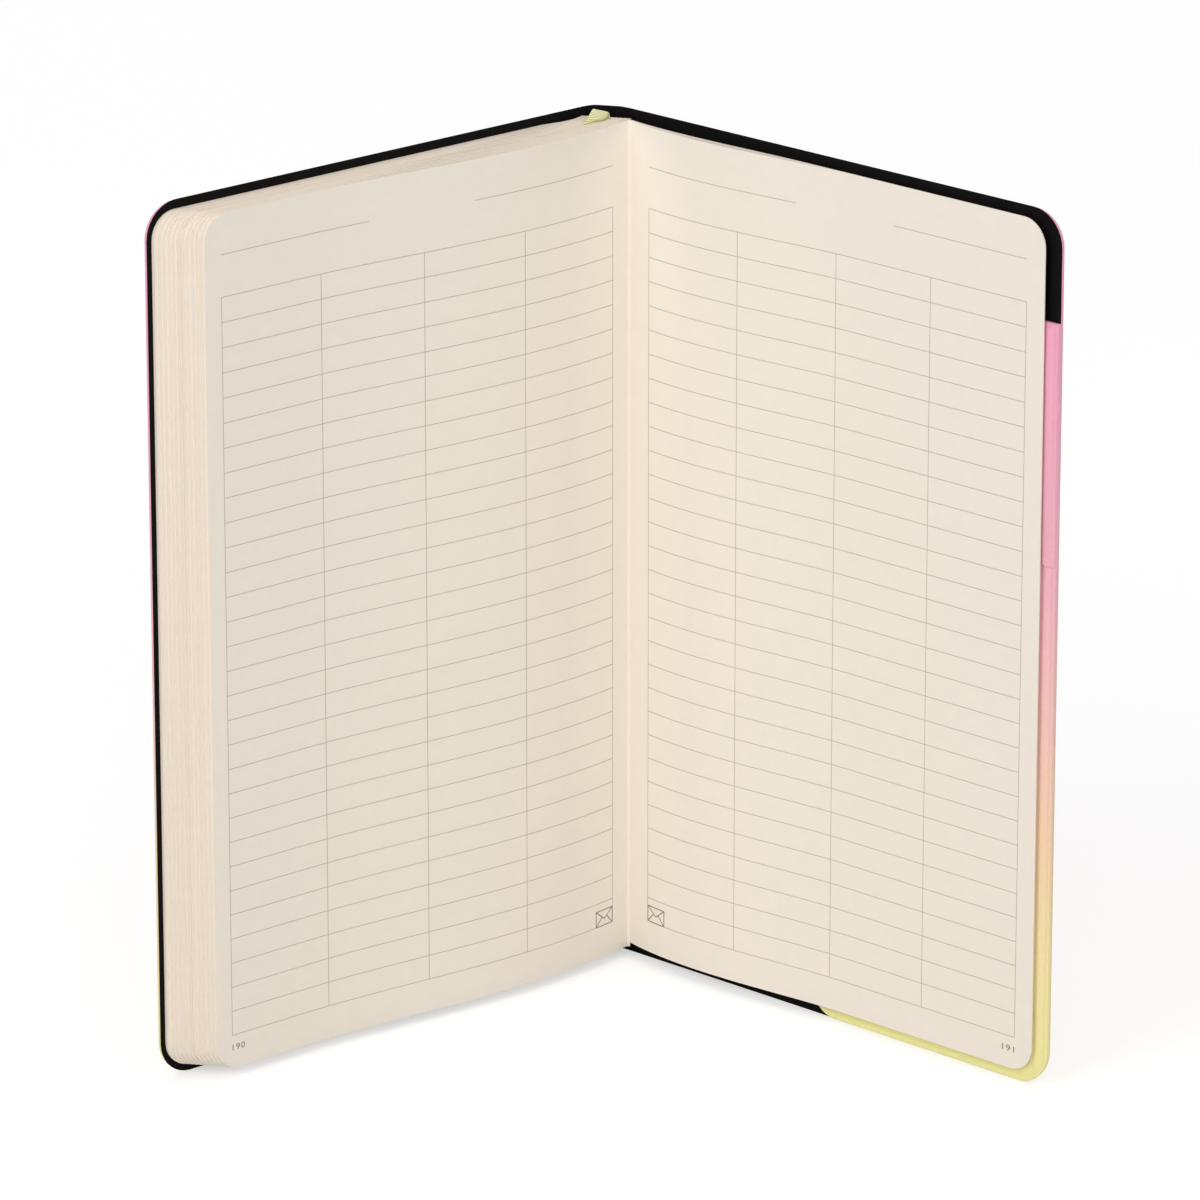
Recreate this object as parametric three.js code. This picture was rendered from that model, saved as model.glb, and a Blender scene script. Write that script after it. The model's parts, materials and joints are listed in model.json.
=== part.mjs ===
// A soft-cover notebook with sewn signatures, standing upright and opened near its last page.
// Millimetres, +Z up. The origin is the foot of the spine, and the reader looks along +Y.
import * as THREE from 'three';

// Cover and page sizes
const coverHeight = 210;
const coverWidth = 129.2;
const coverCorner = 10.5;
const coverOverhang = 2;
const foreEdgeOverhang = 2.05;
const pageCorner = 9.5;

// The pose in the photograph, as angles between each cover and the plane of the spine
const spineTurn = 13;
const frontAngle = 54;
const backAngle = 30;

// Layers of each cover, from the outside in
const skinThickness = 0.8;
const boardThickness = 1;
const liningThickness = 0.3;
const glueGap = 0.05;
const boardMargin = 1.2;
const boardStart = 3.2;
const liningMargin = 0.9;
const liningStart = 0.6;
const skinStart = 2.4;
const jointGap = 0.15;

// The spine of the case
const spineFlatHalf = 3.4;
const shoulderReach = 4.3;
const shoulderDrop = 0.9;
const stiffenerHalf = 3.2;
const stiffenerThickness = 0.5;
const spineLiningHalf = 4.4;
const spineLiningThickness = 0.2;
const spinePieceMargin = 3;

// The sewn block: twelve signatures of eight leaves
const signatureCount = 12;
const blockWidth = 12;
const signatureThickness = 0.4;
const foldSetback = 0.15;
const blockClearance = 0.2;
const hollowDepth = 0.8;
const foldClearance = 0.1;
const glueThickness = 0.15;
const gauzeThickness = 0.15;
const threadThickness = 0.2;
const threadHeight = 0.5;
const threadCount = 5;
const threadEndMargin = 18;
const blockSpineMargin = 6;

// The last two leaves, and the pocket and the pen loop on the inside of the back cover
const leafThickness = 0.12;
const leafRoom = 0.2;
const leafStart = 0.3;
const leafToEdge = 5;
const pocketThickness = 0.5;
const pocketDrop = 27;
const pocketShare = 0.56;
const pocketEdgeMargin = 0.4;
const pocketCorner = 7;
const penLoopThickness = 0.5;
const penLoopLength = 61;
const penLoopWidth = 8;

// The bookmark ribbon
const ribbonWidth = 4.2;
const ribbonThickness = 0.2;
const ribbonSide = -1.4;
const ribbonGluedLength = 14;
const ribbonRise = 1.3;
const ribbonReach = 4.2;
const ribbonSignature = 7;
const tailThickness = 0.12;
const tailStart = 3;
const tailFoot = 20;

// Colours
const PINK = 0xefa9bd;
const PEACH = 0xf5cbb4;
const BLACK = 0x1a1715;
const CARD = 0x8f8779;
const PAPER = 0xe8dfd0;
const GAUZE = 0xe6e0cf;
const GLUE = 0xd9cfae;
const THREAD = 0xf1ece0;
const RIBBON = 0xf2f0a8;

const pageHeight = coverHeight - 2 * coverOverhang;
const pageWidth = coverWidth - foldSetback - foreEdgeOverhang;
const blockFoot = coverOverhang;
const blockHead = coverOverhang + pageHeight;

// Depth of each layer outward from the inner face of the lining, where the hinge axis runs;
// what lies on the lining has its depth below zero
const boardDepth = liningThickness + glueGap;
const skinDepth = boardDepth + boardThickness + glueGap;
const pocketDepth = -glueGap - pocketThickness;
const penLoopDepth = pocketDepth - glueGap - penLoopThickness;

// Plan positions: across runs along the spine, and out points away from the reader.
// The spine's layers are stacked inwards from its skin to the folds.
const foldSpacing = blockWidth / signatureCount;
const firstFold = (-(signatureCount - 1) * foldSpacing) / 2;
const blockHalf = -firstFold + signatureThickness / 2;
const stiffenerOut = -skinThickness / 2 - glueGap;
const spineLiningOut = stiffenerOut - stiffenerThickness - glueGap;
const hollowOut = spineLiningOut - spineLiningThickness;
const gauzeOut = hollowOut - hollowDepth - gauzeThickness;
const threadOut = gauzeOut - glueGap - threadThickness;
const glueOut = threadOut - glueGap - glueThickness;
const foldOut = glueOut - foldClearance - signatureThickness / 2;
const hingeOut = foldOut + foldSetback;
const leafHalf = leafThickness + glueGap / 2;
const leafStandoff = -penLoopDepth + glueGap + leafHalf;
const leafFoldAcross = blockHalf + blockClearance + leafRoom + leafHalf;
const frontHinge = { across: -(blockHalf + blockClearance), out: hingeOut };
const backHinge = { across: leafFoldAcross + leafStandoff, out: hingeOut };
const leafFold = { across: leafFoldAcross, out: hingeOut - leafStandoff };

const paint = {
  skin: new THREE.MeshStandardMaterial({ color: PINK, roughness: 0.6, metalness: 0 }),
  pocket: new THREE.MeshStandardMaterial({ color: PEACH, roughness: 0.6, metalness: 0 }),
  board: new THREE.MeshStandardMaterial({ color: CARD, roughness: 0.9, metalness: 0 }),
  lining: new THREE.MeshStandardMaterial({ color: BLACK, roughness: 0.85, metalness: 0 }),
  paper: new THREE.MeshStandardMaterial({ color: PAPER, roughness: 0.9, metalness: 0 }),
  gauze: new THREE.MeshStandardMaterial({ color: GAUZE, roughness: 0.95, metalness: 0 }),
  glue: new THREE.MeshStandardMaterial({ color: GLUE, roughness: 0.5, metalness: 0 }),
  thread: new THREE.MeshStandardMaterial({ color: THREAD, roughness: 0.9, metalness: 0 }),
  ribbon: new THREE.MeshStandardMaterial({ color: RIBBON, roughness: 0.7, metalness: 0 }),
};

const radians = THREE.MathUtils.degToRad;

function piece(name, geometry, material) {
  const mesh = new THREE.Mesh(geometry, material.clone());
  mesh.name = name;
  return mesh;
}

// A sheet outline standing on its foot edge: square at the spine side unless innerCorner is given,
// with rounded corners at the fore-edge.
function sheetOutline({ start, end, foot, head, corner, innerCorner = 0, headCorner = corner }) {
  const shape = new THREE.Shape();
  shape.moveTo(start + innerCorner, foot);
  shape.lineTo(end - corner, foot);
  shape.absarc(end - corner, foot + corner, corner, -Math.PI / 2, 0, false);
  shape.lineTo(end, head - headCorner);
  if (headCorner > 0) {
    shape.absarc(end - headCorner, head - headCorner, headCorner, 0, Math.PI / 2, false);
  }
  shape.lineTo(start, head);
  if (innerCorner > 0) {
    shape.lineTo(start, foot + innerCorner);
    shape.absarc(start + innerCorner, foot + innerCorner, innerCorner, Math.PI, 1.5 * Math.PI, false);
  }
  return shape;
}

// A flat sheet in its own frame: x runs from the spine to the fore-edge, z is up, and the sheet
// fills depth to depth + thickness, measured towards +y where outward is 1 and -y where it is -1.
function sheet(outline, depth, thickness, outward) {
  const geometry = new THREE.ExtrudeGeometry(outline, {
    depth: thickness,
    bevelEnabled: false,
    curveSegments: 10,
  });
  geometry.rotateX(Math.PI / 2);
  geometry.translate(0, outward > 0 ? depth + thickness : -depth, 0);
  return geometry;
}

// An upright strip with a plan outline, from foot to head
function upright(outline, foot, head) {
  const geometry = new THREE.ExtrudeGeometry(outline, {
    depth: head - foot,
    bevelEnabled: false,
    curveSegments: 8,
  });
  geometry.translate(0, 0, foot);
  return geometry;
}

// A block across the spine: half its width each side of the middle, from near to near + thickness
function spineStrip(half, near, thickness, foot, head) {
  const outline = new THREE.Shape();
  outline.moveTo(-half, near);
  outline.lineTo(half, near);
  outline.lineTo(half, near + thickness);
  outline.lineTo(-half, near + thickness);
  return upright(outline, foot, head);
}

// The outline of a band of even thickness along a path
function bandOutline(points, thickness) {
  const sides = [[], []];
  points.forEach((point, i) => {
    const before = points[Math.max(i - 1, 0)];
    const after = points[Math.min(i + 1, points.length - 1)];
    const along = after.clone().sub(before).normalize();
    const normal = new THREE.Vector2(-along.y, along.x).multiplyScalar(thickness / 2);
    sides[0].push(point.clone().sub(normal));
    sides[1].push(point.clone().add(normal));
  });
  return new THREE.Shape([...sides[0], ...sides[1].reverse()]);
}

// A cover's own frame: x runs from its hinge to its fore-edge
function coverAngle(side) {
  return side < 0 ? Math.PI + radians(frontAngle) : -radians(backAngle);
}

// Where a point of a cover lies in the plan of the spine at rest
function coverPoint(side, along, depth) {
  const hinge = side < 0 ? frontHinge : backHinge;
  const point = new THREE.Vector2(along, side * depth);
  point.rotateAround(new THREE.Vector2(), coverAngle(side));
  return point.add(new THREE.Vector2(hinge.across, hinge.out));
}

// The flat back of the spine runs down to the left and right in two rounded shoulders
function shoulder(side) {
  const start = new THREE.Vector2(side * spineFlatHalf, 0);
  const bend = new THREE.Vector2(side * (spineFlatHalf + shoulderReach * 0.6), 0);
  const end = new THREE.Vector2(side * (spineFlatHalf + shoulderReach), -shoulderDrop);
  return new THREE.QuadraticBezierCurve(start, bend, end);
}

function spineSkin() {
  const path = [...shoulder(-1).getPoints(8).reverse(), ...shoulder(1).getPoints(8)];
  return piece('spine_skin', upright(bandOutline(path, skinThickness), 0, coverHeight), paint.skin);
}

// The soft skin that bends at each hinge, from the spine's shoulder to the cover's skin
function jointSkin(name, side) {
  const edge = shoulder(side);
  const middle = skinDepth + skinThickness / 2;
  const start = edge.getPoint(1);
  const end = coverPoint(side, skinStart, middle);
  const leaving = edge.getTangent(1);
  const arriving = coverPoint(side, skinStart, middle).sub(coverPoint(side, 0, middle)).normalize();
  const reach = start.distanceTo(end) / 2.6;
  start.addScaledVector(leaving, jointGap);
  end.addScaledVector(arriving, -jointGap);
  const path = new THREE.CubicBezierCurve(
    start,
    start.clone().addScaledVector(leaving, reach),
    end.clone().addScaledVector(arriving, -reach),
    end,
  ).getPoints(8);
  return piece(name, upright(bandOutline(path, skinThickness), 0, coverHeight), paint.skin);
}

function spinePieces() {
  const foot = spinePieceMargin;
  const head = coverHeight - spinePieceMargin;
  return [
    piece(
      'spine_stiffener',
      spineStrip(stiffenerHalf, stiffenerOut - stiffenerThickness, stiffenerThickness, foot, head),
      paint.board,
    ),
    piece(
      'spine_lining',
      spineStrip(spineLiningHalf, spineLiningOut - spineLiningThickness, spineLiningThickness, foot, head),
      paint.lining,
    ),
  ];
}

// What holds the signatures together at their folds
function blockSpine() {
  const foot = blockFoot + blockSpineMargin;
  const head = blockHead - blockSpineMargin;
  const half = blockHalf - foldClearance;
  const pieces = [
    piece('spine_glue', spineStrip(half, glueOut, glueThickness, foot, head), paint.glue),
    piece('spine_gauze', spineStrip(half, gauzeOut, gauzeThickness, foot, head), paint.gauze),
  ];
  const step = (pageHeight - 2 * threadEndMargin) / (threadCount - 1);
  for (let i = 0; i < threadCount; i++) {
    const low = blockFoot + threadEndMargin + i * step - threadHeight / 2;
    const thread = spineStrip(half, threadOut, threadThickness, low, low + threadHeight);
    pieces.push(piece(`sewing_thread_${i + 1}`, thread, paint.thread));
  }
  return pieces;
}

// Skin, board and lining of one cover, in the cover's own frame
function coverLayers(name, side) {
  const skin = sheetOutline({
    start: skinStart,
    end: coverWidth,
    foot: 0,
    head: coverHeight,
    corner: coverCorner,
  });
  const board = sheetOutline({
    start: boardStart,
    end: coverWidth - boardMargin,
    foot: boardMargin,
    head: coverHeight - boardMargin,
    corner: coverCorner - boardMargin,
  });
  const lining = sheetOutline({
    start: liningStart,
    end: coverWidth - liningMargin,
    foot: liningMargin,
    head: coverHeight - liningMargin,
    corner: coverCorner - liningMargin,
  });
  return [
    piece(`${name}_cover_skin`, sheet(skin, skinDepth, skinThickness, side), paint.skin),
    piece(`${name}_cover_board`, sheet(board, boardDepth, boardThickness, side), paint.board),
    piece(`${name}_cover_lining`, sheet(lining, 0, liningThickness, side), paint.lining),
  ];
}

function pocketPanel() {
  const outline = sheetOutline({
    start: coverWidth * (1 - pocketShare),
    end: coverWidth - pocketEdgeMargin,
    foot: pocketEdgeMargin,
    head: coverHeight - pocketDrop,
    corner: coverCorner - pocketEdgeMargin,
    innerCorner: pocketCorner,
    headCorner: 0,
  });
  return piece('pocket_panel', sheet(outline, pocketDepth, pocketThickness, 1), paint.pocket);
}

function penLoop() {
  const head = coverHeight - pocketDrop;
  const outline = sheetOutline({
    start: coverWidth - penLoopWidth,
    end: coverWidth - pocketEdgeMargin,
    foot: head - penLoopLength,
    head,
    corner: 0,
  });
  return piece('pen_loop', sheet(outline, penLoopDepth, penLoopThickness, 1), paint.pocket);
}

// The flyleaf and the last ruled leaf lean on the back cover and turn on their own fold
function looseLeaf(name, depth) {
  const outline = sheetOutline({
    start: leafStart,
    end: coverWidth - leafToEdge,
    foot: blockFoot,
    head: blockHead,
    corner: pageCorner,
  });
  return piece(name, sheet(outline, depth, leafThickness, 1), paint.paper);
}

function frontCover() {
  const group = new THREE.Group();
  group.position.set(frontHinge.across, frontHinge.out, 0);
  group.rotation.z = coverAngle(-1);
  group.add(...coverLayers('front', -1));
  return group;
}

function backCover() {
  const group = new THREE.Group();
  group.position.set(backHinge.across, backHinge.out, 0);
  group.rotation.z = coverAngle(1);
  group.add(...coverLayers('back', 1), pocketPanel(), penLoop());
  return group;
}

function lastLeaves() {
  const group = new THREE.Group();
  group.position.set(leafFold.across, leafFold.out, 0);
  group.rotation.z = coverAngle(1);
  group.add(looseLeaf('back_flyleaf', glueGap / 2), looseLeaf('last_leaf', -leafHalf));
  return group;
}

// The ribbon's tail lies on the thinner signature beside it
function ribbonTail() {
  const outline = sheetOutline({
    start: tailStart,
    end: tailStart + ribbonWidth,
    foot: tailFoot,
    head: blockHead,
    corner: 0,
  });
  return piece('ribbon_tail', sheet(outline, glueGap, tailThickness, 1), paint.ribbon);
}

function signature(number) {
  const group = new THREE.Group();
  group.position.set(firstFold + (number - 1) * foldSpacing, foldOut, 0);
  group.rotation.z = coverAngle(-1);
  const outline = sheetOutline({
    start: 0,
    end: pageWidth,
    foot: blockFoot,
    head: blockHead,
    corner: pageCorner,
  });
  const holdsRibbon = number === ribbonSignature;
  const thickness = holdsRibbon ? signatureThickness / 2 : signatureThickness;
  const leaves = sheet(outline, -signatureThickness / 2, thickness, 1);
  group.add(piece(`signature_${String(number).padStart(2, '0')}`, leaves, paint.paper));
  if (holdsRibbon) group.add(ribbonTail());
  return group;
}

// The ribbon comes up through the hollow of the spine and bends forward over the head of the block
function ribbonHead() {
  const hollow = hollowOut - hollowDepth / 2;
  const foot = new THREE.Vector2(hollow, blockHead - ribbonGluedLength);
  const neck = new THREE.Vector2(hollow, blockHead);
  const top = new THREE.Vector2(hollow - ribbonReach / 2, blockHead + ribbonRise);
  const tip = new THREE.Vector2(hollow - ribbonReach, blockHead + ribbonRise / 2);
  const rise = new THREE.QuadraticBezierCurve(neck, new THREE.Vector2(hollow, top.y), top);
  const fall = new THREE.QuadraticBezierCurve(top, new THREE.Vector2(tip.x, top.y), tip);
  const path = [foot, ...rise.getPoints(6), ...fall.getPoints(6).slice(1)];
  const geometry = new THREE.ExtrudeGeometry(bandOutline(path, ribbonThickness), {
    depth: ribbonWidth,
    bevelEnabled: false,
  });
  // The outline was drawn as (out, up) and is turned to stand across the spine
  geometry.rotateY(Math.PI / 2);
  geometry.rotateX(Math.PI / 2);
  geometry.translate(ribbonSide - ribbonWidth / 2, 0, 0);
  return piece('ribbon_head', geometry, paint.ribbon);
}

const notebook = new THREE.Group();
notebook.rotation.z = -radians(spineTurn);
notebook.add(spineSkin(), jointSkin('front_joint_skin', -1), jointSkin('back_joint_skin', 1));
notebook.add(...spinePieces(), ...blockSpine(), ribbonHead());
notebook.add(frontCover(), backCover(), lastLeaves());
for (let number = 1; number <= signatureCount; number++) {
  notebook.add(signature(number));
}

export default notebook;
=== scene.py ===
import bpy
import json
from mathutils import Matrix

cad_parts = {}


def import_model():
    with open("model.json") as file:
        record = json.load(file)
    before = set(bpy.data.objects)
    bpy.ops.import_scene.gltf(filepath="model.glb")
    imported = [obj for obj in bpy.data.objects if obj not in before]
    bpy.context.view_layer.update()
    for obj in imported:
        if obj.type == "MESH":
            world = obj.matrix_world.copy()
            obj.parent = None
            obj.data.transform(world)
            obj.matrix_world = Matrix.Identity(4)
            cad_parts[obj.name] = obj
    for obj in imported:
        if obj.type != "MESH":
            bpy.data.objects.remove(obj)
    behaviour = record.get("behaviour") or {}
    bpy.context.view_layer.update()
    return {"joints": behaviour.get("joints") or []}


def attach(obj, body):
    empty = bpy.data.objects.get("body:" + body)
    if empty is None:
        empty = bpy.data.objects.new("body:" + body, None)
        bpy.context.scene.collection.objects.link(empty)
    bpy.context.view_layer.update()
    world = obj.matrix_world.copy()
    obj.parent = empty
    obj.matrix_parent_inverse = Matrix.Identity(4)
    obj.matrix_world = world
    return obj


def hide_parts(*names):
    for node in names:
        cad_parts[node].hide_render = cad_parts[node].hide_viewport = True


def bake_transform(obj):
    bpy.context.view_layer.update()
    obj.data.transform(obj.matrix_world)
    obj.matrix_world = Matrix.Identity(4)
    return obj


bl_info = {
    "name": "Notebook, standing open",
    "version": (1, 0, 0),
    "blender": (4, 5, 0),
    "location": "3D View > Sidebar > Notebook",
    "description": "Dresses the solids of a sewn notebook with its leaves, case, print and ribbon",
    "category": "Object",
}

import bpy
import bmesh
import json
import math
from bpy.props import FloatProperty, FloatVectorProperty, IntProperty, PointerProperty
from mathutils import Vector

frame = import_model()
JOINTS = {joint["name"]: joint for joint in frame["joints"]}
SPINE_TURN = math.radians(13)
DOWN = math.radians(270)
FRONT_REST, BACK_REST = 234, -30
# Name, side of the spine, and the joint, rest, start and end of the cover's fold
COVERS = (
    ("front", -1, "front_hinge", FRONT_REST, -5.7, 18),
    ("back", 1, "back_hinge", BACK_REST, -7.9, 12),
)
# The signature that the ribbon lies in is a little thinner, to make room for it
RIBBON_SIGNATURE = 7
# How far the last leaf and the flyleaf lie from their fold, one on each side
LOOSE_OFFSET = 0.085
# The widths of the printed envelope and of a page number
ENVELOPE_WIDTH, NUMBER_WIDTH = 5.9, 3.7


def world(across, out, height):
    """A point of the spine's own plan, in millimetres, as a point of the frame in metres"""
    c, s = math.cos(SPINE_TURN), math.sin(SPINE_TURN)
    return Vector((across * c + out * s, out * c - across * s, height)) / 1000


def plan(joint):
    """A joint's place in the spine's own plan, in millimetres"""
    x, y, _ = (value * 1000 for value in JOINTS[joint]["pos_m"])
    c, s = math.cos(SPINE_TURN), math.sin(SPINE_TURN)
    return x * c - y * s, x * s + y * c


class Fold:
    """An upright line that a sheet turns about, bending least near the line.
    rest is the sheet's direction in the photographed pose, in degrees, and start and end are
    the distances from the line, in millimetres, between which the bend spreads."""

    def __init__(self, joint, rest, start, end):
        self.across, self.out = plan(joint)
        self.rest = math.radians(rest)
        self.closing = DOWN - self.rest if rest > 0 else DOWN - math.tau - self.rest
        self.body = JOINTS[joint]["child"]
        self.start, self.end = start, end

    def opened(self, across, out):
        """Where a point of the closed book lies in the open book"""
        x, y = across - self.across, out - self.out
        dx, dy = math.cos(self.rest), math.sin(self.rest)
        share = 1.0
        for _ in range(40):
            turn = -self.closing * share
            c, s = math.cos(turn), math.sin(turn)
            px, py = x * c - y * s, x * s + y * c
            t = (px * dx + py * dy - self.start) / (self.end - self.start)
            t = min(max(t, 0.0), 1.0)
            share = t * t * (3 - 2 * t)
        return self.across + px, self.out + py

    def at(self, distance):
        dx, dy = math.cos(self.rest), math.sin(self.rest)
        return world(self.across + dx * distance, self.out + dy * distance, 0)


def leaf_fold(number):
    """The fold of a signature. The leaves near the front cover bend sharply, as the cover does,
    and the top ones in a long curve."""
    share = (number - 1) / (bpy.context.scene.notebook.signatures - 1)
    return Fold(f"fold_{number:02d}", FRONT_REST, -8 - 137 * share, 14 + 84 * share)


def right_fold(start=-160, end=70):
    """The fold of the leaves that lean on the back cover"""
    return Fold("fold_13", BACK_REST, start, end)


def tool(node_tree, kind, settings=None, inputs=None, links=None):
    """Adds a node with its settings, input values and links"""
    node = node_tree.nodes.new(kind)
    for key, value in (settings or {}).items():
        setattr(node, key, value)
    for key, value in (inputs or {}).items():
        node.inputs[key].default_value = value
    for key, source in (links or {}).items():
        node_tree.links.new(source, node.inputs[key])
    return node


def linear(colour):
    """An sRGB hex value as linear red, green, blue and alpha"""
    channels = [(colour >> shift & 255) / 255 for shift in (16, 8, 0)]
    turned = [c / 12.92 if c <= 0.04045 else ((c + 0.055) / 1.055) ** 2.4 for c in channels]
    return (*turned, 1.0)


def new_material(name, roughness, ior=1.5):
    material = bpy.data.materials.new(name)
    material.use_nodes = True
    shader = material.node_tree.nodes["Principled BSDF"]
    shader.inputs["Roughness"].default_value = roughness
    shader.inputs["IOR"].default_value = ior
    return material, material.node_tree, shader


def sheet_place(tree):
    """The distance and height along a sheet, in metres"""
    return tool(tree, "ShaderNodeUVMap", {"uv_map": "sheet"}).outputs["UV"]


def noise(tree, place, size, detail=3.0, roughness=0.6):
    return tool(
        tree,
        "ShaderNodeTexNoise",
        inputs={"Scale": 1 / size, "Detail": detail, "Roughness": roughness},
        links={"Vector": place},
    ).outputs["Fac"]


def ranged(tree, value, low, high, to_low, to_high):
    return tool(
        tree,
        "ShaderNodeMapRange",
        inputs={"From Min": low, "From Max": high, "To Min": to_low, "To Max": to_high},
        links={"Value": value},
    ).outputs["Result"]


def sums(tree, operation, first, second=None, third=None):
    """A Math node; each input is a number or a socket"""
    values, links = {}, {}
    for i, given in enumerate((first, second, third)):
        if given is None:
            continue
        (values if isinstance(given, (int, float)) else links)[i] = given
    return tool(tree, "ShaderNodeMath", {"operation": operation}, values, links).outputs["Value"]


def separated(tree, place):
    return tool(tree, "ShaderNodeSeparateXYZ", links={"Vector": place}).outputs


def mapped(tree, place, kind, values):
    """Coordinates scaled or turned; kind is the name of the Mapping node's input"""
    node = tool(tree, "ShaderNodeMapping", inputs={kind: values}, links={"Vector": place})
    return node.outputs["Vector"]


def wave(tree, value, period):
    """A sine of a distance, repeating at the given period in metres"""
    return sums(tree, "SINE", sums(tree, "MULTIPLY", value, math.tau / period))


def coloured(tree, shader, colour, tint):
    """Scales a colour, given as a value or a socket, and gives it to the shader"""
    values, links = {}, {"Scale": tint}
    if isinstance(colour, bpy.types.NodeSocket):
        links["Vector"] = colour
    else:
        values[0] = tuple(colour)[:3]
    scaled = tool(tree, "ShaderNodeVectorMath", {"operation": "SCALE"}, values, links)
    tree.links.new(scaled.outputs["Vector"], shader.inputs["Base Color"])


def embossed(tree, shader, height, strength, depth):
    bump = tool(
        tree,
        "ShaderNodeBump",
        inputs={"Strength": strength, "Distance": depth},
        links={"Height": height},
    ).outputs["Normal"]
    tree.links.new(bump, shader.inputs["Normal"])


def leatherette(name, crease=None):
    """Polyurethane leatherette, embossed with a fine grain of 0.5 mm and printed with a gradient:
    satin, with a soft broken highlight. A pressed crease runs up it at the given distance. The
    colour is painted darker where the relief is low, as shade in the grain's pits and the crease."""
    book = bpy.context.scene.notebook
    material, tree, shader = new_material(name, 0.5, 1.48)
    sheet = sheet_place(tree)
    split = separated(tree, sheet)
    share = ranged(tree, split["Y"], 0.0, 0.21, 0.0, 1.0)
    ramp = tool(tree, "ShaderNodeValToRGB", links={"Fac": share})
    stops = [
        (0.0, book.skin_foot),
        (0.14, book.skin_low),
        (0.29, book.skin_middle),
        (0.43, book.skin_upper),
        (0.58, book.skin_high),
        (0.87, book.skin_head),
    ]
    elements = ramp.color_ramp.elements
    while len(elements) < len(stops):
        elements.new(0.5)
    for element, (place, colour) in zip(elements, stops):
        element.position = place
        element.color = (*colour, 1.0)
    grain = tool(
        tree,
        "ShaderNodeTexVoronoi",
        {"feature": "SMOOTH_F1"},
        {"Scale": 1 / 0.0005, "Smoothness": 0.6},
        {"Vector": sheet},
    ).outputs["Distance"]
    creases = noise(tree, sheet, 0.0011, 4.0)
    relief = sums(tree, "MULTIPLY_ADD", grain, 0.55, creases)
    if crease:
        away = sums(tree, "ABSOLUTE", sums(tree, "SUBTRACT", split["X"], crease / 1000))
        # The pressed crease is bumped, and painted darker along it as shade
        groove_and_painted_shade = ranged(tree, away, 0.0, 0.0005, 1.0, 0.0)
        relief = sums(tree, "MULTIPLY_ADD", groove_and_painted_shade, -1.4, relief)
    # Painted shade: the colour darkens where the relief is low, in the grain's pits and fine
    # creases and most along the pressed crease
    coloured(tree, shader, ramp.outputs["Color"], ranged(tree, relief, 0.3, 1.1, 0.95, 1.03))
    embossed(tree, shader, relief, 0.35, 0.00012)
    return material


def lining_paper():
    """Black coated endpaper, glued to the case: nearly matt, with a faint felt-side fibre."""
    material, tree, shader = new_material("endpaper_black", 0.7, 1.45)
    shader.inputs["Specular IOR Level"].default_value = 0.12
    fibre = noise(tree, sheet_place(tree), 0.0009, 5.0, 0.65)
    lining = bpy.context.scene.notebook.lining
    coloured(tree, shader, lining, ranged(tree, fibre, 0.3, 0.7, 0.75, 1.3))
    embossed(tree, shader, fibre, 0.15, 0.00005)
    return material


def page_paper():
    """Uncoated ivory wood-free paper of 80 grams, machine made: fully matt, with faint clouding
    from uneven fibre, about 4 mm across, a fine tooth of 0.25 mm, and warmer cut edges. Their
    streaks are 0.5 mm wide, coarser than a leaf, so that they show. The paper is lighter in the
    gutter, where facing pages light each other."""
    material, tree, shader = new_material("book_paper_ivory", 0.88, 1.45)
    shader.inputs["Specular IOR Level"].default_value = 0.25
    sheet = sheet_place(tree)
    clouds = noise(tree, sheet, 0.004, 3.0, 0.55)
    book = bpy.context.scene.notebook
    split = separated(tree, sheet)
    edge = sums(tree, "GREATER_THAN", split["X"], 0.5)
    ends = {6: (*book.paper, 1.0), 7: (*book.paper_edge, 1.0)}
    paper = tool(tree, "ShaderNodeMix", {"data_type": "RGBA"}, ends, {0: edge}).outputs[2]
    place = tool(tree, "ShaderNodeTexCoord").outputs["Object"]
    streaks = noise(tree, mapped(tree, place, "Scale", (1, 1, 0.003)), 0.0005, 2.0)
    leaves = ranged(tree, streaks, 0.35, 0.65, -0.07, 0.03)
    gutter = ranged(tree, split["X"], 0.0, 0.022, 0.1, 0.0)
    tint = ranged(tree, clouds, 0.25, 0.75, 0.985, 1.012)
    tint = sums(tree, "ADD", sums(tree, "MULTIPLY_ADD", leaves, edge, tint), gutter)
    coloured(tree, shader, paper, tint)
    embossed(tree, shader, noise(tree, sheet, 0.00025, 2.0), 0.12, 0.00003)
    return material


def printing_ink(name, colour):
    """Thin offset ink soaked into uncoated paper: matt, a little uneven along the line."""
    material, tree, shader = new_material(name, 0.8, 1.45)
    patches = noise(tree, sheet_place(tree), 0.0008, 2.0)
    coloured(tree, shader, colour, ranged(tree, patches, 0.3, 0.7, 0.92, 1.08))
    embossed(tree, shader, patches, 0.1, 0.00001)
    return material


def woven_ribbon():
    """Viscose grosgrain ribbon, 4.2 mm wide: satin, ribbed across every 0.65 mm, which is coarser
    than the real weave so that it shows. The ribs are painted into the colour too, as light on
    their crests and shade between them."""
    material, tree, shader = new_material("ribbon_grosgrain", 0.42, 1.47)
    shader.inputs["Sheen Weight"].default_value = 0.25
    sheet = sheet_place(tree)
    split = separated(tree, sheet)
    ribs = wave(tree, split["Y"], 0.00065)
    threads = wave(tree, split["X"], 0.0002)
    relief = sums(tree, "MULTIPLY_ADD", threads, 0.2, ribs)
    ribbon = bpy.context.scene.notebook.ribbon
    # Painted light and shade: the colour is lighter on the ribs' crests and far darker between them
    coloured(tree, shader, ribbon, ranged(tree, relief, -1.2, 1.2, 0.45, 1.15))
    embossed(tree, shader, relief, 0.5, 0.00006)
    return material


def spine_place(tree):
    """Object coordinates turned so that X runs across the spine"""
    place = tool(tree, "ShaderNodeTexCoord").outputs["Object"]
    return mapped(tree, place, "Rotation", (0, 0, SPINE_TURN))


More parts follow.
